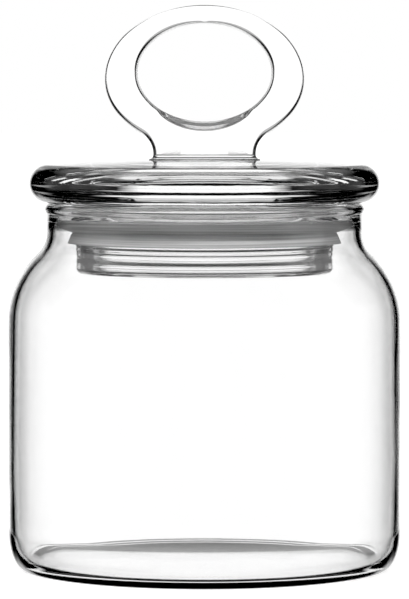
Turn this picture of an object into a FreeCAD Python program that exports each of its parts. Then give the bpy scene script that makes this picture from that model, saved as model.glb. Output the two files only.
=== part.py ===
import FreeCAD, Part
import math
import os
from FreeCAD import Vector as V

# Herb keeper: a blown glass jar, a pressed glass lid with a ring handle, and the seal on the lid's plug.
# Millimetres, +Z up, origin at the centre of the foot. The ring handle's two faces look along Y.
# Round pieces are half outlines in the XZ plane, each drawn in order round the outline and turned about Z.

# Jar, outside
BODY_R = 50.0
FOOT_CORNER_WIDTH = 4.2
FOOT_CORNER_HEIGHT = 9.1
FOOT_RING_WIDTH = 1.6
FOOT_HOLLOW_EDGE_WIDTH = 7.0
FOOT_HOLLOW_DEPTH = 0.6
SHOULDER_START_Z = 62.9
SHOULDER_ARC_R = 24.3
NECK_ARC_R = 7.4
NECK_R = 40.1
RIM_BEAD_R = 40.64
RIM_BEAD_ROUND = 1.5
RIM_TOP_Z = 93.2

# Jar, inside
NECK_WALL = 1.6
THIN_WALL = 1.2
THIN_WALL_Z = 28.0
FOOT_WALL = 1.5
FLOOR_Z = 2.3
FLOOR_R = 45.2
FLOOR_CORNER_HEIGHT = 8.4

# Lid, disc and hollow plug
LID_R = 44.55
LID_EDGE_ROUND = 4.85
LID_EDGE_Z = 98.25
LID_DOME_RISE = 1.35
PLUG_ROOT_R = 34.0
PLUG_ROOT_BEVEL = 0.9
GROOVE_R = 32.3
GROOVE_TOP_Z = 90.1
GROOVE_BOTTOM_Z = 82.8
PLUG_BEAD_R = 33.4
PLUG_BEAD_BEVEL = 0.4
PLUG_BOTTOM_R = 32.3
PLUG_BOTTOM_Z = 75.5
PLUG_BOTTOM_BEVEL = 1.6
CAVITY_MOUTH_R = 28.6
CAVITY_MOUTH_BEVEL = 1.2
CAVITY_TOP_R = 27.6
CAVITY_TOP_Z = 97.2
CAVITY_CORNER_R = 4.0

# Lid, ring handle
RING_HALF_WIDTH = 25.3
RING_WIDEST_Z = 124.6
RING_TOP_Z = 143.5
RING_LOWER_HEIGHT = 17.6
RING_TOP_THICKNESS = 7.6
RING_FOOT_THICKNESS = 11.0
RING_EDGE_ROUND = 1.8
WAIST_HALF_WIDTH = 13.0
WAIST_ROUND = 6.0
WAIST_TOP_Z = 112.0
HANDLE_ROOT_Z = 99.5
HANDLE_ROOT_ROUND = 0.7
HOLE_HALF_WIDTH = 17.0
HOLE_TOP_Z = 138.7
HOLE_BOTTOM_Z = 113.9
HOLE_SIDE_DRAFT = 0.8
HOLE_TOP_DRAFT = 0.6
HOLE_BOTTOM_DRAFT = 2.3
HOLE_DRAFT_DEPTH = 4.7
HOLE_EDGE_ROUND = 0.6

# Seal
SEAL_FIT = 0.05
SEAL_END_GAP = 0.1
SEAL_WAIST_R = 33.55
SEAL_WAIST_Z = 86.6
SEAL_LIP_R = 38.2
SEAL_LIP_TIP = 0.6
SEAL_VALLEY_R = 34.4
SEAL_VALLEY_DEPTH = 1.6
SEAL_SHELF_WIDTH = 1.1
SEAL_FLARE_R = 34.8
SEAL_FLARE_WALL = 1.1
SEAL_FLARE_DEPTH = 1.6

FULL_TURN = 360

# Edges are picked by where they lie: lengths within MATCH count as equal, and no other edge is within MARGIN.
MATCH = 0.1
MARGIN = 1.0


def at(radius, height):
    """A point of a half outline: its distance from the axis and its height."""
    return V(radius, 0, height)


def polyline(*points):
    return [Part.LineSegment(a, b).toShape() for a, b in zip(points, points[1:])]


def arc(centre, radius, start_deg, end_deg):
    """An arc of a half outline from one angle to another: 0 is outward and 90 is up."""
    angles = [math.radians(a) for a in (start_deg, (start_deg + end_deg) / 2, end_deg)]
    return [Part.Arc(*[centre + V(math.cos(a), 0, math.sin(a)) * radius for a in angles]).toShape()]


def foot_corner(centre, width, height):
    """The lower outer quarter of an upright ellipse, from its lowest point to its outermost."""
    ellipse = Part.Ellipse(centre + V(0, 0, height), centre + V(width, 0, 0), centre)
    return [Part.ArcOfEllipse(ellipse, math.pi / 2, math.pi).toShape()]


def turned(edges):
    wire = Part.Wire(Part.__sortEdges__(edges))
    return Part.Face(wire).revolve(V(0, 0, 0), V(0, 0, 1), FULL_TURN)


def shoulder_blend():
    """Angle and height where the shoulder's and the neck's arcs meet: both are tangent there."""
    both_r = SHOULDER_ARC_R + NECK_ARC_R
    step_in = BODY_R - NECK_R
    turn_deg = math.degrees(math.acos(1 - step_in / both_r))
    neck_arc_z = SHOULDER_START_Z + math.sqrt(both_r ** 2 - (both_r - step_in) ** 2)
    return turn_deg, neck_arc_z


def make_jar():
    turn_deg, neck_arc_z = shoulder_blend()
    shoulder_centre = at(BODY_R - SHOULDER_ARC_R, SHOULDER_START_Z)
    neck_centre = at(NECK_R + NECK_ARC_R, neck_arc_z)

    # The foot: a shallow hollow, the flat ring it stands on, and a tall rounded corner.
    ring_outer_r = BODY_R - FOOT_CORNER_WIDTH
    ring_inner_r = ring_outer_r - FOOT_RING_WIDTH
    hollow_r = ring_inner_r - FOOT_HOLLOW_EDGE_WIDTH
    edges = polyline(at(0, FOOT_HOLLOW_DEPTH), at(hollow_r, FOOT_HOLLOW_DEPTH),
                     at(ring_inner_r, 0), at(ring_outer_r, 0))
    edges += foot_corner(at(ring_outer_r, FOOT_CORNER_HEIGHT), FOOT_CORNER_WIDTH, FOOT_CORNER_HEIGHT)

    # The wall, the shoulder and the neck, up to a fire-polished bead.
    bead_r = RIM_BEAD_R - RIM_BEAD_ROUND
    bead_z = RIM_TOP_Z - RIM_BEAD_ROUND
    bead_start_deg = -math.degrees(math.acos((NECK_R - bead_r) / RIM_BEAD_ROUND))
    bead_start_z = bead_z + RIM_BEAD_ROUND * math.sin(math.radians(bead_start_deg))
    mouth_r = NECK_R - NECK_WALL
    mouth_z = RIM_TOP_Z - (bead_r - mouth_r)
    edges += polyline(at(BODY_R, FOOT_CORNER_HEIGHT), at(BODY_R, SHOULDER_START_Z))
    edges += arc(shoulder_centre, SHOULDER_ARC_R, 0, turn_deg)
    edges += arc(neck_centre, NECK_ARC_R, 180 + turn_deg, 180)
    edges += polyline(at(NECK_R, neck_arc_z), at(NECK_R, bead_start_z))
    edges += arc(at(bead_r, bead_z), RIM_BEAD_ROUND, bead_start_deg, 90)

    # Inside, the neck and the shoulder keep one wall; the body thins downward, then thickens into the floor.
    corner_r = BODY_R - FOOT_WALL
    floor_corner_z = FLOOR_Z + FLOOR_CORNER_HEIGHT
    edges += polyline(at(bead_r, RIM_TOP_Z), at(mouth_r, mouth_z), at(mouth_r, neck_arc_z))
    edges += arc(neck_centre, NECK_ARC_R + NECK_WALL, 180, 180 + turn_deg)
    edges += arc(shoulder_centre, SHOULDER_ARC_R - NECK_WALL, turn_deg, 0)
    edges += polyline(at(BODY_R - NECK_WALL, SHOULDER_START_Z), at(BODY_R - THIN_WALL, THIN_WALL_Z),
                      at(corner_r, floor_corner_z))
    edges += foot_corner(at(FLOOR_R, floor_corner_z), corner_r - FLOOR_R, FLOOR_CORNER_HEIGHT)
    edges += polyline(at(FLOOR_R, FLOOR_Z), at(0, FLOOR_Z), at(0, FOOT_HOLLOW_DEPTH))
    return turned(edges)


def make_lid_disc():
    edge_r = LID_R - LID_EDGE_ROUND
    dome_top_z = LID_EDGE_Z + LID_EDGE_ROUND + LID_DOME_RISE
    underside_z = LID_EDGE_Z - LID_EDGE_ROUND

    # The dome is a sphere that the round edge touches from inside.
    rise = dome_top_z - LID_EDGE_Z
    dome_r = (edge_r ** 2 + rise ** 2 - LID_EDGE_ROUND ** 2) / (2 * (rise - LID_EDGE_ROUND))
    dome_turn_deg = math.degrees(math.asin(edge_r / (dome_r - LID_EDGE_ROUND)))
    edges = arc(at(0, dome_top_z - dome_r), dome_r, 90, 90 - dome_turn_deg)
    edges += arc(at(edge_r, LID_EDGE_Z), LID_EDGE_ROUND, 90 - dome_turn_deg, -90)

    # Under the disc: the plug's root, the seal's groove, and the bead that keeps the seal on.
    edges += polyline(at(edge_r, underside_z), at(PLUG_ROOT_R + PLUG_ROOT_BEVEL, underside_z),
                      at(PLUG_ROOT_R, underside_z - PLUG_ROOT_BEVEL), at(PLUG_ROOT_R, GROOVE_TOP_Z),
                      at(GROOVE_R, GROOVE_TOP_Z), at(GROOVE_R, GROOVE_BOTTOM_Z),
                      at(PLUG_BEAD_R - PLUG_BEAD_BEVEL, GROOVE_BOTTOM_Z),
                      at(PLUG_BEAD_R, GROOVE_BOTTOM_Z - PLUG_BEAD_BEVEL))

    # The plug is open below: a moulded rim, a drafted wall and a rounded ceiling.
    edges += polyline(at(PLUG_BEAD_R, GROOVE_BOTTOM_Z - PLUG_BEAD_BEVEL),
                      at(PLUG_BOTTOM_R, PLUG_BOTTOM_Z + PLUG_BOTTOM_BEVEL),
                      at(PLUG_BOTTOM_R - PLUG_BOTTOM_BEVEL, PLUG_BOTTOM_Z),
                      at(CAVITY_MOUTH_R + CAVITY_MOUTH_BEVEL, PLUG_BOTTOM_Z),
                      at(CAVITY_MOUTH_R, PLUG_BOTTOM_Z + CAVITY_MOUTH_BEVEL),
                      at(CAVITY_TOP_R, CAVITY_TOP_Z - CAVITY_CORNER_R))
    edges += arc(at(CAVITY_TOP_R - CAVITY_CORNER_R, CAVITY_TOP_Z - CAVITY_CORNER_R), CAVITY_CORNER_R, 0, 90)
    edges += polyline(at(CAVITY_TOP_R - CAVITY_CORNER_R, CAVITY_TOP_Z), at(0, CAVITY_TOP_Z),
                      at(0, dome_top_z))
    return turned(edges)


def half_ellipse(half_width, height, centre_z, y, upward):
    """The upper or lower half of an ellipse that is wider than tall, in a plane that faces Y."""
    centre = V(0, y, centre_z)
    ellipse = Part.Ellipse(centre + V(half_width, 0, 0), centre + V(0, 0, height), centre)
    first = 0 if upward else math.pi
    return Part.ArcOfEllipse(ellipse, first, first + math.pi).toShape()


def ring_plate():
    """The handle's front outline, an egg on a waisted foot, as a plate thicker than the handle."""
    depth = 2 * RING_FOOT_THICKNESS
    front = -depth / 2
    upper = half_ellipse(RING_HALF_WIDTH, RING_TOP_Z - RING_WIDEST_Z, RING_WIDEST_Z, front, True)
    lower = half_ellipse(RING_HALF_WIDTH, RING_LOWER_HEIGHT, RING_WIDEST_Z, front, False)
    ring = Part.Face(Part.Wire([upper, lower])).extrude(V(0, depth, 0))
    foot = Part.makeBox(2 * WAIST_HALF_WIDTH, depth, WAIST_TOP_Z - HANDLE_ROOT_Z)
    foot.translate(V(-WAIST_HALF_WIDTH, front, HANDLE_ROOT_Z))
    plate = ring.fuse(foot).removeSplitter()

    # The two inner corners between the egg and its foot run front to back.
    corners = [e for e in plate.Edges if runs_front_to_back(e) and e.BoundBox.Center.z > HANDLE_ROOT_Z + MARGIN
               and abs(e.BoundBox.Center.x) < WAIST_HALF_WIDTH + MARGIN]
    return plate.makeFillet(WAIST_ROUND, corners)


def runs_front_to_back(edge):
    box = edge.BoundBox
    return box.XLength < MATCH and box.ZLength < MATCH


def thickness_wedge():
    """The handle from the side: it gets thicker downward."""
    top = RING_TOP_Z + MARGIN
    slope = (RING_FOOT_THICKNESS - RING_TOP_THICKNESS) / 2 / (RING_TOP_Z - HANDLE_ROOT_Z)
    half_top = RING_TOP_THICKNESS / 2 - slope * (top - RING_TOP_Z)
    half_foot = RING_FOOT_THICKNESS / 2
    start_x = -2 * RING_HALF_WIDTH
    corners = [V(start_x, -half_foot, HANDLE_ROOT_Z), V(start_x, half_foot, HANDLE_ROOT_Z),
               V(start_x, half_top, top), V(start_x, -half_top, top)]
    return Part.Face(Part.makePolygon(corners + corners[:1])).extrude(V(4 * RING_HALF_WIDTH, 0, 0))


def hole_wire(y):
    """The finger hole's outline at a depth: smallest on the middle plane, wider and lower towards a face."""
    draft = abs(y) / HOLE_DRAFT_DEPTH
    top = HOLE_TOP_Z + HOLE_TOP_DRAFT * draft
    bottom = HOLE_BOTTOM_Z - HOLE_BOTTOM_DRAFT * draft
    half_width = HOLE_HALF_WIDTH + HOLE_SIDE_DRAFT * draft
    centre_z = (top + bottom) / 2
    halves = [half_ellipse(half_width, (top - bottom) / 2, centre_z, y, upward) for upward in (True, False)]
    return Part.Wire(halves)


def make_handle():
    body = ring_plate().common(thickness_wedge())
    long_edges = [e for e in body.Edges if abs(e.BoundBox.Center.y) > RING_TOP_THICKNESS / 4
                  and not runs_front_to_back(e) and e.BoundBox.ZMax > HANDLE_ROOT_Z + MATCH]
    body = body.makeFillet(RING_EDGE_ROUND, long_edges)
    for side in (-1, 1):
        far = side * RING_FOOT_THICKNESS
        body = body.cut(Part.makeLoft([hole_wire(0), hole_wire(far)], True, True))
    rims = [e for e in body.Edges if is_hole_rim(e)]
    return body.makeFillet(HOLE_EDGE_ROUND, rims)


def is_hole_rim(edge):
    """True for the edges where the finger hole meets the handle's two faces."""
    box = edge.BoundBox
    inside = box.XLength > HOLE_HALF_WIDTH and box.XMax < HOLE_HALF_WIDTH + 2 * HOLE_SIDE_DRAFT
    return inside and abs(box.Center.y) > RING_TOP_THICKNESS / 4


def make_lid():
    disc = make_lid_disc()
    handle = make_handle()
    lid = disc.fuse(handle)
    root = [e for e in lid.Edges if is_handle_root(e)]
    return lid.makeFillet(HANDLE_ROOT_ROUND, root)


def is_handle_root(edge):
    """True for the edges where the handle leaves the dome."""
    box = edge.BoundBox
    dome_top_z = LID_EDGE_Z + LID_EDGE_ROUND + LID_DOME_RISE
    near = box.XMax < WAIST_HALF_WIDTH + MARGIN and box.XMin > -WAIST_HALF_WIDTH - MARGIN
    low = box.ZMax < dome_top_z + MATCH and box.ZMin > dome_top_z - LID_DOME_RISE
    return near and low and box.YMax < LID_R / 2


def make_seal():
    inner_r = GROOVE_R + SEAL_FIT
    top_z = GROOVE_TOP_Z - SEAL_END_GAP
    bottom_z = GROOVE_BOTTOM_Z + SEAL_END_GAP
    lip_z = top_z - SEAL_LIP_TIP
    edges = polyline(
        at(inner_r, bottom_z + SEAL_FLARE_DEPTH),
        at(SEAL_FLARE_R - SEAL_FLARE_WALL, bottom_z),
        at(SEAL_FLARE_R, bottom_z),
        at(SEAL_WAIST_R, SEAL_WAIST_Z),
        at(SEAL_LIP_R, lip_z),
        at(SEAL_LIP_R, top_z),
        at(SEAL_VALLEY_R, top_z - SEAL_VALLEY_DEPTH),
        at(inner_r + SEAL_SHELF_WIDTH, top_z),
        at(inner_r, top_z),
        at(inner_r, bottom_z + SEAL_FLARE_DEPTH))
    return turned(edges)


if __name__ == "__main__":
    os.makedirs("parts", exist_ok=True)
    for name, make in (("glass_jar", make_jar), ("glass_lid", make_lid), ("lid_seal", make_seal)):
        solid = make()
        solid.exportStep("parts/" + name + ".step")
        state = "valid" if solid.isValid() else "NOT VALID"
        print(name, state, len(solid.Solids), "solid,", round(solid.Volume), "mm3")
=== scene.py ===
import math

import bmesh
import bpy
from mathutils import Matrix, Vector


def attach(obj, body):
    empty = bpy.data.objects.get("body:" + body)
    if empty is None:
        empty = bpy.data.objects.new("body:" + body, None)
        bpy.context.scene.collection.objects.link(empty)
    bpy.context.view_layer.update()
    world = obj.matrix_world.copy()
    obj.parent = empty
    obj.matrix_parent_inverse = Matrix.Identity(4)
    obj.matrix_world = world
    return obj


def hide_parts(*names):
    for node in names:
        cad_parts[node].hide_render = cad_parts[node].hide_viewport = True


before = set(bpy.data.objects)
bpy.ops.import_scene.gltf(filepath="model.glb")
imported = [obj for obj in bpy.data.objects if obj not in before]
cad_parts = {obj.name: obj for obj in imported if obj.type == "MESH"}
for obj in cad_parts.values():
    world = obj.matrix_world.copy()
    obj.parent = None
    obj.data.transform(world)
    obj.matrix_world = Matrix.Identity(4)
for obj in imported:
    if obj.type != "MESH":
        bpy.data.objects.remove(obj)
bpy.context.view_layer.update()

MM = 0.001

# Sizes are in millimetres, unless the comment above them says otherwise.

# Jar, outside
BODY_R = 50.0
FOOT_CORNER_WIDTH = 4.2
FOOT_CORNER_HEIGHT = 9.1
FOOT_RING_WIDTH = 1.6
FOOT_HOLLOW_EDGE_WIDTH = 7.0
FOOT_HOLLOW_DEPTH = 0.6
SHOULDER_START_Z = 62.9
SHOULDER_ARC_R = 24.3
NECK_ARC_R = 7.4
NECK_R = 40.1
RIM_BEAD_R = 40.64
RIM_BEAD_ROUND = 1.5
RIM_TOP_Z = 93.2

# Jar, inside
NECK_WALL = 1.6
THIN_WALL = 1.2
THIN_WALL_Z = 28.0
FOOT_WALL = 1.5
FLOOR_Z = 2.3
FLOOR_R = 45.2
FLOOR_CORNER_HEIGHT = 8.4

# Lid, disc and hollow plug
LID_R = 44.55
LID_EDGE_ROUND = 4.85
LID_EDGE_Z = 98.25
LID_DOME_RISE = 1.35
PLUG_ROOT_R = 34.0
PLUG_ROOT_ROUND = 0.9
GROOVE_R = 32.3
GROOVE_TOP_Z = 90.1
GROOVE_BOTTOM_Z = 82.8
PLUG_BEAD_R = 32.9
PLUG_BEAD_ROUND = 0.4
PLUG_BOTTOM_R = 32.7
PLUG_BOTTOM_Z = 75.5
PLUG_BOTTOM_ROUND = 1.6
PLUG_RIDGES = 3
PLUG_RIDGES_Z = 77.4
PLUG_RIDGE_DEPTH = 0.12
CAVITY_MOUTH_R = 28.6
CAVITY_MOUTH_ROUND = 1.2
CAVITY_TOP_R = 27.6
CAVITY_TOP_Z = 97.2
CAVITY_CORNER_R = 4.0

# Lid, ring handle
RING_HALF_WIDTH = 25.3
RING_WIDEST_Z = 124.6
RING_TOP_Z = 143.5
RING_LOWER_HEIGHT = 17.6
RING_TOP_THICKNESS = 7.6
RING_FOOT_THICKNESS = 11.0
FOOT_EDGE_ROUND = 1.8
RING_EDGE_WIDTH = 0.5
RING_LOW_EDGE_WIDTH = 1.5
RING_EDGE_DEPTH_SHARE = 0.6
ROUNDING_START_Z = 106.0
ROUNDING_END_Z = 116.0
WAIST_HALF_WIDTH = 13.0
WAIST_ROUND = 6.0
HANDLE_ROOT_Z = 99.5
HANDLE_ROOT_ROUND = 1.1
HANDLE_ROOT_SINK = 0.02
HOLE_HALF_WIDTH = 17.0
HOLE_TOP_Z = 138.7
HOLE_BOTTOM_Z = 113.9
HOLE_DRAFT = 0.3
HOLE_SCOOP_DEPTH = 1.7
HOLE_SCOOP_START = 0.74
HOLE_WALL_SHARE = 0.6
HOLE_EDGE_WIDTH = 0.5
HOLE_HIGH_EDGE_WIDTH = 1.2
HOLE_RIDGE_ROUND_SHARE = 0.08

# Seal
SEAL_FIT = 0.05
SEAL_END_GAP = 0.1
SEAL_WAIST_R = 33.55
SEAL_WAIST_Z = 86.6
SEAL_LIP_R = 38.2
SEAL_LIP_TIP = 0.6
SEAL_VALLEY_R = 34.4
SEAL_VALLEY_DEPTH = 1.6
SEAL_SHELF_WIDTH = 1.1
SEAL_FLARE_R = 34.8
SEAL_FLARE_WALL = 1.1
SEAL_FLARE_DEPTH = 1.6

# Mesh fineness: counts, degrees, and metres for the distance at which points are joined
AROUND = 288
ARC_STEP_DEG = 6
BODY_ARC_STEP_DEG = 2
LID_EDGE_STEP_DEG = 3
DOME_STEP_DEG = 0.3
PLUG_BEAD_STEP_DEG = 15
RIDGE_STEPS = 10
RING_POINTS = 240
FOOT_STEPS = 12
WAIST_STEPS = 16
EDGE_STEP_DEG = 10
ROOT_STEPS = 10
ROOT_CORNER_STEP_DEG = 10
HALVINGS = 50
JOINED_WITHIN = 1e-7

# The finger hole's loops from its middle to its face: share of the wall's depth, and degrees round its edge
HOLE_LOOPS = ((0.1, 0), (0.3, 0), (0.6, 0), (1, 0), (1, 18), (1, 36), (1, 54), (1, 72), (1, 90))

# Edges sharper than these stay crisp, and the lid's shading follows its large faces by this weight
JAR_SHARP_DEG = 60
LID_SHARP_DEG = 32
SEAL_SHARP_DEG = 30
LID_FACE_WEIGHT = 80

# Materials. Waves and grain: how many to a metre, and how high in metres
WHITE = (1, 1, 1, 1)
GLASS_IOR = 1.5
GLASS_TINT = (0.9, 0.9, 0.9, 1)
GLASS_DENSITY = 8.0
JAR_WAVES = ((20, 0.0002), (70, 0.00003))
LID_WAVES = ((45, 0.0001), (420, 0.000012))
SEAL_ROUGHNESS = 0.45
SEAL_IOR = 1.45
SEAL_GRAIN = (900, 0.00002)

# How deep light scatters in the seal, in metres, and the painted shade and painted highlight at each height
# in millimetres: darkest at the waist and lightest on the flare below it
SEAL_SCATTER = 0.0008
SEAL_PAINTED_SHADE_BY_HEIGHT = ((82.9, 0.62), (84.2, 0.8), (85.2, 0.5), (86.4, 0.3), (87.3, 0.5), (88.6, 0.66), (89.9, 0.42))

# Level streaks in the seal: how many to a metre each way, the part of the noise that is used, and what it
# multiplies the shade by
SEAL_STREAKS = (25, 25, 2600)
SEAL_NOISE_RANGE = (0.3, 0.7)
SEAL_STREAK_RANGE = (0.7, 1.25)

# Camera: its sensor, the photograph's frame and scale at the jar's axis, and where the eye is, in metres
SENSOR_WIDTH = 36
FRAME_HEIGHT_PX = 599
PX_PER_MM = 3.93
EYE_DISTANCE = 1.09
EYE_HEIGHT = 0.131
AIM_Z = 0.0686

# Studio, in metres, with the lamp's power in watts
SEEN_RAYS = ("Is Camera Ray", "Is Glossy Ray", "Is Transmission Ray")
SEEN_WHITE = 1.0
SOFT_LIGHT = 0.6
FLOOR_SIZE = 6.0
FLOOR_COLOUR = (0.9, 0.9, 0.9, 1)
FLOOR_GLOW = 0.72
LAMP_POWER = 6
LAMP_SIZE = 1.2
LAMP_PLACE = (-0.4, -0.3, 1.3)
LAMP_AIM = (0, 0, 0.07)
ROOM_RADIUS = 8.0
ROOM_STEP_DEG = 2
ROOM_WHITE = 1.18

# Light panels round the set: brightness, then where each fades in and out, in degrees across and upward.
# Across, 0 is straight behind the object, and left and right are alike. None is no limit at that end.
# The glass shows the first panels. The others light the seal through the glass.
GLASS_PANELS = (
    (1.0, (None, None, 14, 20), (-45, -35, 8, 16)),
    (0.45, (None, None, 14, 20), (-45, -35, 24, 30)),
    (0.8, (None, None, 70, 90), (30, 40, None, None)),
    (0.4, (48, 58, 95, 110), (-14, -8, 40, 50)),
    (0.7, (74, 84, 110, 125), (-14, -8, 40, 50)),
    (1.0, (None, None, 22, 30), (-24, -20, -13, -9)),
)
SEAL_PANELS = (
    (0.1, (None, None, None, None), (None, None, None, None)),
    (3.4, (130, 165, None, None), (-30, 0, None, None)),
)
ROOM_PANELS = {"seen": GLASS_PANELS, "cast": SEAL_PANELS}


def arc(centre, radius, start_deg, end_deg, step_deg=ARC_STEP_DEG):
    """Points along an arc, both ends included."""
    steps = max(2, math.ceil(abs(end_deg - start_deg) / step_deg))
    angles = [math.radians(start_deg + (end_deg - start_deg) * i / steps) for i in range(steps + 1)]
    return [(centre[0] + radius * math.cos(a), centre[1] + radius * math.sin(a)) for a in angles]


def foot_corner(centre, width, height, upward):
    """The lower outer quarter of an ellipse, from its lowest point upward or from its side downward."""
    steps = round(90 / ARC_STEP_DEG)
    angles = [math.radians(-90 + 90 * i / steps) for i in range(steps + 1)]
    points = [(centre[0] + width * math.cos(a), centre[1] + height * math.sin(a)) for a in angles]
    return points if upward else points[::-1]


def jar_outline():
    """Half of the jar's section: up its outside from the middle of the foot, and down its inside."""
    both_r = SHOULDER_ARC_R + NECK_ARC_R
    step_in = BODY_R - NECK_R
    turn = math.degrees(math.acos(1 - step_in / both_r))
    neck_arc_z = SHOULDER_START_Z + math.sqrt(both_r ** 2 - (both_r - step_in) ** 2)
    shoulder = (BODY_R - SHOULDER_ARC_R, SHOULDER_START_Z)
    neck = (NECK_R + NECK_ARC_R, neck_arc_z)
    ring_outer_r = BODY_R - FOOT_CORNER_WIDTH
    ring_inner_r = ring_outer_r - FOOT_RING_WIDTH
    hollow_r = ring_inner_r - FOOT_HOLLOW_EDGE_WIDTH
    hollow_arc_r = (FOOT_HOLLOW_EDGE_WIDTH ** 2 + FOOT_HOLLOW_DEPTH ** 2) / (2 * FOOT_HOLLOW_DEPTH)
    hollow_turn = math.degrees(math.asin(FOOT_HOLLOW_EDGE_WIDTH / hollow_arc_r))
    bead_r = RIM_BEAD_R - RIM_BEAD_ROUND
    bead_z = RIM_TOP_Z - RIM_BEAD_ROUND
    bead_start = -math.degrees(math.acos((NECK_R - bead_r) / RIM_BEAD_ROUND))
    mouth_r = NECK_R - NECK_WALL
    mouth_round = bead_r - mouth_r
    corner_r = BODY_R - FOOT_WALL
    floor_corner_z = FLOOR_Z + FLOOR_CORNER_HEIGHT
    points = [(0, FOOT_HOLLOW_DEPTH)]
    points += arc((hollow_r, FOOT_HOLLOW_DEPTH - hollow_arc_r), hollow_arc_r, 90, 90 - hollow_turn,
                  BODY_ARC_STEP_DEG)
    points += foot_corner((ring_outer_r, FOOT_CORNER_HEIGHT), FOOT_CORNER_WIDTH, FOOT_CORNER_HEIGHT, True)
    points += arc(shoulder, SHOULDER_ARC_R, 0, turn, BODY_ARC_STEP_DEG)
    points += arc(neck, NECK_ARC_R, 180 + turn, 180)
    points += arc((bead_r, bead_z), RIM_BEAD_ROUND, bead_start, 90)
    points += arc((bead_r, RIM_TOP_Z - mouth_round), mouth_round, 90, 180)
    points += arc(neck, NECK_ARC_R + NECK_WALL, 180, 180 + turn)
    points += arc(shoulder, SHOULDER_ARC_R - NECK_WALL, turn, 0, BODY_ARC_STEP_DEG)
    points += [(BODY_R - THIN_WALL, THIN_WALL_Z)]
    points += foot_corner((FLOOR_R, floor_corner_z), corner_r - FLOOR_R, FLOOR_CORNER_HEIGHT, False)
    points += [(0, FLOOR_Z)]
    return points


def dome_top():
    return LID_EDGE_Z + LID_EDGE_ROUND + LID_DOME_RISE


def plug_ridges():
    """The soft level ridges round the plug's wall below the groove, as shallow waves in its outline."""
    height = GROOVE_BOTTOM_Z - PLUG_BEAD_ROUND - PLUG_RIDGES_Z
    steps = RIDGE_STEPS * PLUG_RIDGES
    points = []
    for i in range(steps):
        share = i / steps
        radius = PLUG_BOTTOM_R + (PLUG_BEAD_R - PLUG_BOTTOM_R) * share
        wave = (1 - math.cos(2 * math.pi * PLUG_RIDGES * share)) / 2
        points.append((radius - PLUG_RIDGE_DEPTH * wave, PLUG_RIDGES_Z + height * share))
    return points


def disc_outline():
    """Half of the lid's section without its handle: from the cavity's top, round the plug, over the dome."""
    edge_r = LID_R - LID_EDGE_ROUND
    dome_top_z = dome_top()
    underside_z = LID_EDGE_Z - LID_EDGE_ROUND
    rise = dome_top_z - LID_EDGE_Z
    dome_r = (edge_r ** 2 + rise ** 2 - LID_EDGE_ROUND ** 2) / (2 * (rise - LID_EDGE_ROUND))
    dome_turn = math.degrees(math.asin(edge_r / (dome_r - LID_EDGE_ROUND)))
    root_z = underside_z - PLUG_ROOT_ROUND
    bead_r = PLUG_BEAD_R - PLUG_BEAD_ROUND
    bottom_r = PLUG_BOTTOM_R - PLUG_BOTTOM_ROUND
    mouth_z = PLUG_BOTTOM_Z + CAVITY_MOUTH_ROUND
    corner = (CAVITY_TOP_R - CAVITY_CORNER_R, CAVITY_TOP_Z - CAVITY_CORNER_R)
    points = [(0, CAVITY_TOP_Z)]
    points += arc(corner, CAVITY_CORNER_R, 90, 0)
    points += arc((CAVITY_MOUTH_R + CAVITY_MOUTH_ROUND, mouth_z), CAVITY_MOUTH_ROUND, 180, 270)
    points += arc((bottom_r, PLUG_BOTTOM_Z + PLUG_BOTTOM_ROUND), PLUG_BOTTOM_ROUND, -90, 0)
    points += plug_ridges()
    points += arc((bead_r, GROOVE_BOTTOM_Z - PLUG_BEAD_ROUND), PLUG_BEAD_ROUND, 0, 90, PLUG_BEAD_STEP_DEG)
    points += [(GROOVE_R, GROOVE_BOTTOM_Z), (GROOVE_R, GROOVE_TOP_Z), (PLUG_ROOT_R, GROOVE_TOP_Z)]
    points += arc((PLUG_ROOT_R + PLUG_ROOT_ROUND, root_z), PLUG_ROOT_ROUND, 180, 90)
    points += arc((edge_r, LID_EDGE_Z), LID_EDGE_ROUND, -90, 90 - dome_turn, LID_EDGE_STEP_DEG)
    points += arc((0, dome_top_z - dome_r), dome_r, 90 - dome_turn, 90, DOME_STEP_DEG)[1:]
    return points


def seal_outline():
    """The seal's closed section: the flared lower lip, the waist, the upper lip and the valley inside it."""
    inner_r = GROOVE_R + SEAL_FIT
    top_z = GROOVE_TOP_Z - SEAL_END_GAP
    bottom_z = GROOVE_BOTTOM_Z + SEAL_END_GAP
    return [
        (inner_r, bottom_z + SEAL_FLARE_DEPTH),
        (SEAL_FLARE_R - SEAL_FLARE_WALL, bottom_z),
        (SEAL_FLARE_R, bottom_z),
        (SEAL_WAIST_R, SEAL_WAIST_Z),
        (SEAL_LIP_R, top_z - SEAL_LIP_TIP),
        (SEAL_LIP_R, top_z),
        (SEAL_VALLEY_R, top_z - SEAL_VALLEY_DEPTH),
        (inner_r + SEAL_SHELF_WIDTH, top_z),
        (inner_r, top_z),
    ]


def finish_mesh(name, bm):
    """Turns the mesh being built into an object of its own."""
    bmesh.ops.remove_doubles(bm, verts=bm.verts, dist=JOINED_WITHIN)
    bmesh.ops.recalc_face_normals(bm, faces=bm.faces)
    mesh = bpy.data.meshes.new(name)
    bm.to_mesh(mesh)
    bm.free()
    piece = bpy.data.objects.new(name, mesh)
    bpy.context.scene.collection.objects.link(piece)
    return piece


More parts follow.
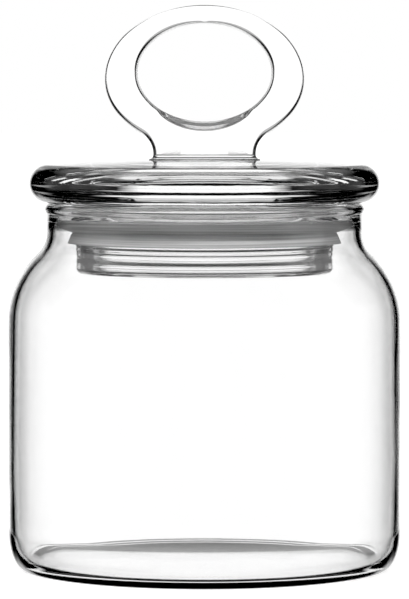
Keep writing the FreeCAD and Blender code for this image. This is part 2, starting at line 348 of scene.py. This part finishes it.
def turned(name, outline, closed):
    """A piece turned about Z from a half outline; it is closed on itself, or by the axis at both ends."""
    bm = bmesh.new()
    rings = []
    for radius, height in outline:
        if radius == 0:
            rings.append([bm.verts.new((0, 0, height * MM))])
            continue
        ring = []
        for i in range(AROUND):
            angle = 2 * math.pi * i / AROUND
            x, y = radius * MM * math.cos(angle), radius * MM * math.sin(angle)
            ring.append(bm.verts.new((x, y, height * MM)))
        rings.append(ring)
    pairs = list(zip(rings, rings[1:])) + ([(rings[-1], rings[0])] if closed else [])
    for low, high in pairs:
        for i in range(AROUND):
            j = (i + 1) % AROUND
            corners = [low[i % len(low)], low[j % len(low)], high[j % len(high)], high[i % len(high)]]
            unique = list(dict.fromkeys(corners))
            if len(unique) > 2:
                bm.faces.new(unique)
    return finish_mesh(name, bm)


def smooth(piece, angle_deg):
    """Smooth shading, with the edges sharper than the angle kept crisp."""
    mesh = piece.data
    mesh.shade_smooth()
    mesh.set_sharp_from_angle(angle=math.radians(angle_deg))
    return piece


def waist_centre():
    """Where the right-hand waist curve touches the egg, as the egg's own angle, and the curve's centre.

    The curve is a circle that also touches the foot's side, and it is found by halving the angle's range.
    """
    low, high = math.radians(1), math.radians(89)
    for _ in range(HALVINGS):
        turn = (low + high) / 2
        x, z, nx, nz = egg_point(-turn)
        if x + WAIST_ROUND * nx > WAIST_HALF_WIDTH + WAIST_ROUND:
            low = turn
        else:
            high = turn
    return turn, (x + WAIST_ROUND * nx, z + WAIST_ROUND * nz)


def egg_point(angle):
    """A point of the ring's egg outline with its outward normal, at the ellipse's own angle."""
    half_height = RING_TOP_Z - RING_WIDEST_Z if math.sin(angle) > 0 else RING_LOWER_HEIGHT
    x = RING_HALF_WIDTH * math.cos(angle)
    z = RING_WIDEST_Z + half_height * math.sin(angle)
    nx = half_height * math.cos(angle)
    nz = RING_HALF_WIDTH * math.sin(angle)
    size = math.hypot(nx, nz)
    return x, z, nx / size, nz / size


def handle_outline():
    """Points of the handle's front outline with their outward normals, anticlockwise from the right foot."""
    turn, (centre_x, centre_z) = waist_centre()
    touch = egg_point(-turn)
    end_angle = math.atan2(touch[1] - centre_z, touch[0] - centre_x)
    right = []
    for i in range(FOOT_STEPS):
        right.append((WAIST_HALF_WIDTH, HANDLE_ROOT_Z + (centre_z - HANDLE_ROOT_Z) * i / FOOT_STEPS, 1, 0))
    for i in range(WAIST_STEPS):
        angle = math.pi - (math.pi - end_angle) * i / WAIST_STEPS
        right.append((centre_x + WAIST_ROUND * math.cos(angle), centre_z + WAIST_ROUND * math.sin(angle),
                      -math.cos(angle), -math.sin(angle)))
    egg_steps = RING_POINTS // 2
    for i in range(egg_steps):
        right.append(egg_point(-turn + (math.pi / 2 + turn) * i / egg_steps))
    left = [(-x, z, -nx, nz) for x, z, nx, nz in right[::-1]]
    return right + [egg_point(math.pi / 2)] + left


def half_thickness(z):
    """Half of the handle's thickness front to back at a height: it tapers towards the top."""
    share = (z - HANDLE_ROOT_Z) / (RING_TOP_Z - HANDLE_ROOT_Z)
    return (RING_FOOT_THICKNESS + (RING_TOP_THICKNESS - RING_FOOT_THICKNESS) * share) / 2


def edge_point(x, z, nx, nz, turn):
    """A point of the handle's rounded edge, on the outline at 0 and on the face at a quarter turn.

    The foot's edge is a plain round. The ring's is narrow and deep, and it widens towards its lower side.
    """
    share = min(1, max(0, (z - ROUNDING_START_Z) / (ROUNDING_END_Z - ROUNDING_START_Z)))
    share = share * share * (3 - 2 * share)
    ring_width = RING_EDGE_WIDTH + (RING_LOW_EDGE_WIDTH - RING_EDGE_WIDTH) * max(0, -nz)
    width = FOOT_EDGE_ROUND + (ring_width - FOOT_EDGE_ROUND) * share
    depth = FOOT_EDGE_ROUND + (RING_EDGE_DEPTH_SHARE * half_thickness(z) - FOOT_EDGE_ROUND) * share
    inset = width * (1 - math.cos(turn))
    face_z = z - nz * inset
    return x - nx * inset, half_thickness(face_z) - depth * (1 - math.sin(turn)), face_z


def hole_loop(share, turn):
    """The finger hole's outline at a share of the wall's depth, or turned round its edge onto the face.

    The wall slopes out from a rounded ridge on the middle plane, and more so in the scoop at its bottom.
    """
    loop = []
    draft = math.hypot(share, HOLE_RIDGE_ROUND_SHARE) - HOLE_RIDGE_ROUND_SHARE
    centre_z = (HOLE_TOP_Z + HOLE_BOTTOM_Z) / 2
    for i in range(RING_POINTS):
        angle = 2 * math.pi * i / RING_POINTS
        sine = math.sin(angle)
        diagonal = 2 * max(0, sine) * abs(math.cos(angle))
        edge = HOLE_EDGE_WIDTH + (HOLE_HIGH_EDGE_WIDTH - HOLE_EDGE_WIDTH) * diagonal
        out = HOLE_DRAFT * draft + edge * (1 - math.cos(turn))
        scoop = math.sqrt(max(0, -sine - HOLE_SCOOP_START) / (1 - HOLE_SCOOP_START))
        x = (HOLE_HALF_WIDTH + out) * math.cos(angle)
        z = centre_z + ((HOLE_TOP_Z - HOLE_BOTTOM_Z) / 2 + out) * sine - HOLE_SCOOP_DEPTH * draft * scoop
        depth = HOLE_WALL_SHARE * share + (1 - HOLE_WALL_SHARE) * math.sin(turn)
        loop.append((x, depth * half_thickness(z), z))
    return loop


def make_handle():
    """The ring handle and its foot as one closed solid, which reaches down into the dome."""
    bm = bmesh.new()
    outline = handle_outline()

    def add_loop(points):
        return [bm.verts.new(Vector(p) * MM) for p in points]

    def join(a, b):
        for i in range(len(a)):
            j = (i + 1) % len(a)
            bm.faces.new((a[i], a[j], b[j], b[i]))

    sides = {}
    for side in (-1, 1):
        loops = []
        for degrees in range(0, 91, EDGE_STEP_DEG):
            points = [edge_point(*p, math.radians(degrees)) for p in outline]
            loops.append(add_loop([(x, side * y, z) for x, y, z in points]))
        hole = []
        for share, degrees in HOLE_LOOPS:
            hole.append(add_loop([(x, side * y, z) for x, y, z in hole_loop(share, math.radians(degrees))]))
        sides[side] = (loops, hole)
        for a, b in zip(loops, loops[1:]):
            join(a, b)
        for a, b in zip(hole, hole[1:]):
            join(a, b)
        rim = [bm.edges.get((loops[-1][i], loops[-1][(i + 1) % len(outline)])) for i in range(len(outline))]
        rim += [bm.edges.get((hole[-1][i], hole[-1][(i + 1) % RING_POINTS])) for i in range(RING_POINTS)]
        bmesh.ops.triangle_fill(bm, use_beauty=True, use_dissolve=False, edges=rim)
    join(sides[-1][0][0], sides[1][0][0])
    middle = add_loop(hole_loop(0, 0))
    join(sides[-1][1][0], middle)
    join(middle, sides[1][1][0])
    return finish_mesh("handle_blank", bm)


def make_root():
    """The fillet where the handle flows out onto the dome: a closed solid, flared downward all round."""
    bm = bmesh.new()
    loops = []
    for i in range(-1, ROOT_STEPS + 1):
        turn = math.pi / 2 * max(0, i) / ROOT_STEPS
        z = dome_top() + HANDLE_ROOT_ROUND * (1 - math.cos(turn)) - (HANDLE_ROOT_ROUND if i < 0 else 0)
        flare = HANDLE_ROOT_ROUND * (1 - math.sin(turn)) - (HANDLE_ROOT_SINK if i == ROOT_STEPS else 0)
        corner_x = WAIST_HALF_WIDTH - FOOT_EDGE_ROUND
        corner_y = half_thickness(z) - FOOT_EDGE_ROUND
        loop = []
        for degrees in range(0, 360, ROOT_CORNER_STEP_DEG):
            angle = math.radians(degrees + ROOT_CORNER_STEP_DEG / 2)
            x = math.copysign(corner_x, math.cos(angle)) + (FOOT_EDGE_ROUND + flare) * math.cos(angle)
            y = math.copysign(corner_y, math.sin(angle)) + (FOOT_EDGE_ROUND + flare) * math.sin(angle)
            loop.append(bm.verts.new(Vector((x, y, z)) * MM))
        loops.append(loop)
    for low, high in zip(loops, loops[1:]):
        for i in range(len(low)):
            j = (i + 1) % len(low)
            bm.faces.new((low[i], low[j], high[j], high[i]))
    bm.faces.new(loops[0])
    bm.faces.new(loops[-1])
    return finish_mesh("root_blank", bm)


def join_solid(piece, other):
    """Makes one closed glass body of two."""
    union = piece.modifiers.new("join", "BOOLEAN")
    union.operation = "UNION"
    union.solver = "EXACT"
    union.object = other
    bake_modifiers(piece)
    bpy.data.objects.remove(other)


def make_lid():
    """The lid as one glass body: the disc with its plug, the handle, and the fillet at the handle's root."""
    lid = turned("glass_lid_piece", disc_outline(), False)
    handle = make_handle()
    join_solid(handle, make_root())
    join_solid(lid, handle)
    smooth(lid, LID_SHARP_DEG)
    weighted = lid.modifiers.new("face_weights", "WEIGHTED_NORMAL")
    weighted.keep_sharp = True
    weighted.weight = LID_FACE_WEIGHT
    bake_modifiers(lid)
    return lid


def bake_modifiers(piece):
    """Puts the result of the piece's modifiers into its mesh."""
    graph = bpy.context.evaluated_depsgraph_get()
    mesh = bpy.data.meshes.new_from_object(piece.evaluated_get(graph))
    piece.modifiers.clear()
    piece.data = mesh


def noise_bump(nodes, links, place, scale, height, last=None):
    """Soft waves on a surface, added to the last ones: how many to a metre, and how high in metres."""
    noise = nodes.new("ShaderNodeTexNoise")
    noise.inputs["Scale"].default_value = scale
    noise.inputs["Detail"].default_value = 1
    links.new(place, noise.inputs["Vector"])
    bump = nodes.new("ShaderNodeBump")
    bump.inputs["Distance"].default_value = height
    links.new(noise.outputs["Fac"], bump.inputs["Height"])
    if last:
        links.new(last.outputs["Normal"], bump.inputs["Normal"])
    return bump


def glass(name, waves):
    """Nearly clear glass with the faint waves that blowing or pressing leaves in it."""
    material = bpy.data.materials.new(name)
    material.use_nodes = True
    nodes, links = material.node_tree.nodes, material.node_tree.links
    shader = nodes["Principled BSDF"]
    shader.inputs["Base Color"].default_value = WHITE
    shader.inputs["Transmission Weight"].default_value = 1
    shader.inputs["Roughness"].default_value = 0
    shader.inputs["IOR"].default_value = GLASS_IOR
    place = nodes.new("ShaderNodeTexCoord").outputs["Object"]
    bump = None
    for scale, height in waves:
        bump = noise_bump(nodes, links, place, scale, height, bump)
    links.new(bump.outputs["Normal"], shader.inputs["Normal"])
    absorb = nodes.new("ShaderNodeVolumeAbsorption")
    absorb.inputs["Color"].default_value = GLASS_TINT
    absorb.inputs["Density"].default_value = GLASS_DENSITY
    links.new(absorb.outputs["Volume"], nodes["Material Output"].inputs["Volume"])
    return material


def seal_plastic():
    """Milky soft plastic that light scatters through, with level bands of painted shade and highlight, thin
    streaks and a grain.
    """
    material = bpy.data.materials.new("seal_plastic")
    material.use_nodes = True
    nodes, links = material.node_tree.nodes, material.node_tree.links
    shader = nodes["Principled BSDF"]
    shader.inputs["Subsurface Weight"].default_value = 1
    shader.inputs["Subsurface Radius"].default_value = (1, 1, 1)
    shader.inputs["Subsurface Scale"].default_value = SEAL_SCATTER
    shader.inputs["Roughness"].default_value = SEAL_ROUGHNESS
    shader.inputs["IOR"].default_value = SEAL_IOR
    place = nodes.new("ShaderNodeTexCoord").outputs["Object"]

    # The painted shade and painted highlight at each height, put into the base colour
    split = nodes.new("ShaderNodeSeparateXYZ")
    links.new(place, split.inputs[0])
    height = nodes.new("ShaderNodeMapRange")
    low, high = SEAL_PAINTED_SHADE_BY_HEIGHT[0][0], SEAL_PAINTED_SHADE_BY_HEIGHT[-1][0]
    height.inputs["From Min"].default_value = low * MM
    height.inputs["From Max"].default_value = high * MM
    links.new(split.outputs["Z"], height.inputs["Value"])
    bands = nodes.new("ShaderNodeValToRGB")
    for i, (z, shade) in enumerate(SEAL_PAINTED_SHADE_BY_HEIGHT):
        stop = bands.color_ramp.elements[i] if i < 2 else bands.color_ramp.elements.new(1)
        stop.position = (z - low) / (high - low)
        stop.color = (shade, shade, shade, 1)
    links.new(height.outputs["Result"], bands.inputs["Fac"])

    # Thin level streaks
    stretch = nodes.new("ShaderNodeMapping")
    stretch.inputs["Scale"].default_value = SEAL_STREAKS
    links.new(place, stretch.inputs["Vector"])
    streaks = nodes.new("ShaderNodeTexNoise")
    streaks.inputs["Scale"].default_value = 1
    links.new(stretch.outputs["Vector"], streaks.inputs["Vector"])
    contrast = nodes.new("ShaderNodeMapRange")
    contrast.inputs["From Min"].default_value = SEAL_NOISE_RANGE[0]
    contrast.inputs["From Max"].default_value = SEAL_NOISE_RANGE[1]
    contrast.inputs["To Min"].default_value = SEAL_STREAK_RANGE[0]
    contrast.inputs["To Max"].default_value = SEAL_STREAK_RANGE[1]
    links.new(streaks.outputs["Fac"], contrast.inputs["Value"])
    times = nodes.new("ShaderNodeVectorMath")
    times.operation = "SCALE"
    links.new(bands.outputs["Color"], times.inputs[0])
    links.new(contrast.outputs["Result"], times.inputs["Scale"])
    links.new(times.outputs["Vector"], shader.inputs["Base Color"])

    bump = noise_bump(nodes, links, place, SEAL_GRAIN[0], SEAL_GRAIN[1])
    links.new(bump.outputs["Normal"], shader.inputs["Normal"])
    return material


def put(piece, material, node, body):
    """Gives a piece its material, and puts it in the place of a CAD node, on that node's body."""
    piece.data.materials.clear()
    piece.data.materials.append(material)
    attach(piece, body)
    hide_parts(node)


def make_object():
    jar = smooth(turned("glass_jar_piece", jar_outline(), False), JAR_SHARP_DEG)
    put(jar, glass("jar_glass", JAR_WAVES), "glass_jar", "jar")
    put(make_lid(), glass("lid_glass", LID_WAVES), "glass_lid", "lid")
    seal = smooth(turned("lid_seal_piece", seal_outline(), True), SEAL_SHARP_DEG)
    put(seal, seal_plastic(), "lid_seal", "seal")


def make_camera():
    """The camera at the photograph's viewing angle, with the photograph's scale at the jar's axis."""
    data = bpy.data.cameras.new("camera")
    data.sensor_width = SENSOR_WIDTH
    data.lens = PX_PER_MM * EYE_DISTANCE / MM / FRAME_HEIGHT_PX * data.sensor_width
    camera = bpy.data.objects.new("camera", data)
    bpy.context.scene.collection.objects.link(camera)
    camera.location = (0, -EYE_DISTANCE, EYE_HEIGHT)
    aim = Vector((0, 0, AIM_Z)) - camera.location
    camera.rotation_euler = aim.to_track_quat("-Z", "Y").to_euler()
    bpy.context.scene.camera = camera
    return camera


def is_seen(tree):
    """1 for the rays that show the background itself, and 0 for those that only carry its light."""
    path = tree.nodes.new("ShaderNodeLightPath")
    total = path.outputs[SEEN_RAYS[0]]
    for name in SEEN_RAYS[1:]:
        either = tree.nodes.new("ShaderNodeMath")
        either.operation = "MAXIMUM"
        tree.links.new(total, either.inputs[0])
        tree.links.new(path.outputs[name], either.inputs[1])
        total = either.outputs[0]
    return total


def make_world():
    """Soft even light from all round, and plain white where the world itself is seen."""
    world = bpy.data.worlds.new("studio")
    bpy.context.scene.world = world
    world.use_nodes = True
    tree = world.node_tree
    tree.nodes.clear()
    seen = tree.nodes.new("ShaderNodeBackground")
    seen.inputs["Color"].default_value = WHITE
    seen.inputs["Strength"].default_value = SEEN_WHITE
    soft = tree.nodes.new("ShaderNodeBackground")
    soft.inputs["Color"].default_value = WHITE
    soft.inputs["Strength"].default_value = SOFT_LIGHT
    mix = tree.nodes.new("ShaderNodeMixShader")
    out = tree.nodes.new("ShaderNodeOutputWorld")
    tree.links.new(is_seen(tree), mix.inputs[0])
    tree.links.new(soft.outputs[0], mix.inputs[1])
    tree.links.new(seen.outputs[0], mix.inputs[2])
    tree.links.new(mix.outputs[0], out.inputs["Surface"])


def make_floor():
    """A pale floor with a glow where it is seen, so that it shows white. Glass shows the panels instead."""
    bm = bmesh.new()
    bmesh.ops.create_grid(bm, x_segments=1, y_segments=1, size=FLOOR_SIZE)
    floor = finish_mesh("floor", bm)
    material = bpy.data.materials.new("floor")
    material.use_nodes = True
    tree = material.node_tree
    shader = tree.nodes["Principled BSDF"]
    shader.inputs["Base Color"].default_value = FLOOR_COLOUR
    shader.inputs["Roughness"].default_value = 1
    shader.inputs["Specular IOR Level"].default_value = 0
    shader.inputs["Emission Color"].default_value = WHITE
    times = tree.nodes.new("ShaderNodeMath")
    times.operation = "MULTIPLY"
    times.inputs[1].default_value = FLOOR_GLOW
    tree.links.new(is_seen(tree), times.inputs[0])
    tree.links.new(times.outputs[0], shader.inputs["Emission Strength"])
    floor.data.materials.append(material)
    floor.visible_transmission = False
    floor.visible_glossy = False


def fade(value, start, end):
    """0 below start and 1 above end, or 1 everywhere without a start."""
    if start is None:
        return 1.0
    return min(1.0, max(0.0, (value - start) / (end - start)))


def panel_light(panels, across, upward):
    """How bright the panels are in a direction from the object, in degrees off the camera's axis."""
    brightness = 0.0
    for strength, (left, full, start, end), (low, low_full, high_start, high) in panels:
        share = fade(across, left, full) * fade(upward, low, low_full)
        share *= 1 - fade(across, start, end) if end is not None else 1
        share *= 1 - fade(upward, high_start, high) if high is not None else 1
        brightness = max(brightness, strength * share)
    return brightness


def make_room(camera):
    """Dark walls round the set with light panels behind, beside and above, as glass is photographed.

    Only rays that have met the glass or the seal reach them. They turn with the camera, so that the glass
    has the same dark edges from every side. Each corner of the walls' mesh stores how bright it is.
    """
    bm = bmesh.new()
    across_steps, upward_steps = round(360 / ROOM_STEP_DEG), round(180 / ROOM_STEP_DEG)
    layers = {name: bm.verts.layers.float.new(name) for name in ROOM_PANELS}
    rings = []
    for j in range(upward_steps + 1):
        upward = math.radians(-90 + ROOM_STEP_DEG * j)
        ring = []
        for i in range(across_steps):
            across = math.radians(ROOM_STEP_DEG * i)
            level = math.cos(upward)
            corner = Vector((level * math.sin(across), math.sin(upward), -level * math.cos(across)))
            vert = bm.verts.new(corner * ROOM_RADIUS)
            across_deg = ROOM_STEP_DEG * min(i, across_steps - i)
            for name, panels in ROOM_PANELS.items():
                vert[layers[name]] = ROOM_WHITE * panel_light(panels, across_deg, math.degrees(upward))
            ring.append(vert)
        rings.append(ring)
    for low, high in zip(rings, rings[1:]):
        for i in range(across_steps):
            j = (i + 1) % across_steps
            bm.faces.new((low[i], low[j], high[j], high[i]))
    mesh = bpy.data.meshes.new("dark_room")
    bm.to_mesh(mesh)
    bm.free()
    room = bpy.data.objects.new("dark_room", mesh)
    bpy.context.scene.collection.objects.link(room)
    material = bpy.data.materials.new("dark_room")
    material.use_nodes = True
    tree = material.node_tree
    tree.nodes.clear()
    wall = tree.nodes.new("ShaderNodeEmission")
    out = tree.nodes.new("ShaderNodeOutputMaterial")
    tree.links.new(wall.outputs[0], out.inputs["Surface"])

    # A ray that the seal has scattered takes the second panels' light, and any other the first's.
    path = tree.nodes.new("ShaderNodeLightPath")
    strength = tree.nodes.new("ShaderNodeMix")
    tree.links.new(path.outputs["Diffuse Depth"], strength.inputs["Factor"])
    for socket, name in zip(("A", "B"), ROOM_PANELS):
        panel = tree.nodes.new("ShaderNodeAttribute")
        panel.attribute_name = name
        tree.links.new(panel.outputs["Fac"], strength.inputs[socket])
    tree.links.new(strength.outputs["Result"], wall.inputs["Strength"])
    mesh.materials.append(material)
    room.visible_camera = False
    room.visible_diffuse = False
    room.visible_shadow = False
    room.parent = camera
    room.location = (0, 0, -EYE_DISTANCE)


def make_lamp():
    """A large soft lamp overhead, which shows neither in reflections nor through the glass."""
    data = bpy.data.lights.new("softbox", "AREA")
    data.energy = LAMP_POWER
    data.size = LAMP_SIZE
    lamp = bpy.data.objects.new("softbox", data)
    bpy.context.scene.collection.objects.link(lamp)
    lamp.location = LAMP_PLACE
    lamp.rotation_euler = (Vector(LAMP_AIM) - lamp.location).to_track_quat("-Z", "Y").to_euler()
    lamp.visible_glossy = False
    lamp.visible_transmission = False


bpy.context.scene.view_settings.view_transform = "Standard"
make_object()
make_room(make_camera())
make_world()
make_floor()
make_lamp()
bpy.context.view_layer.update()
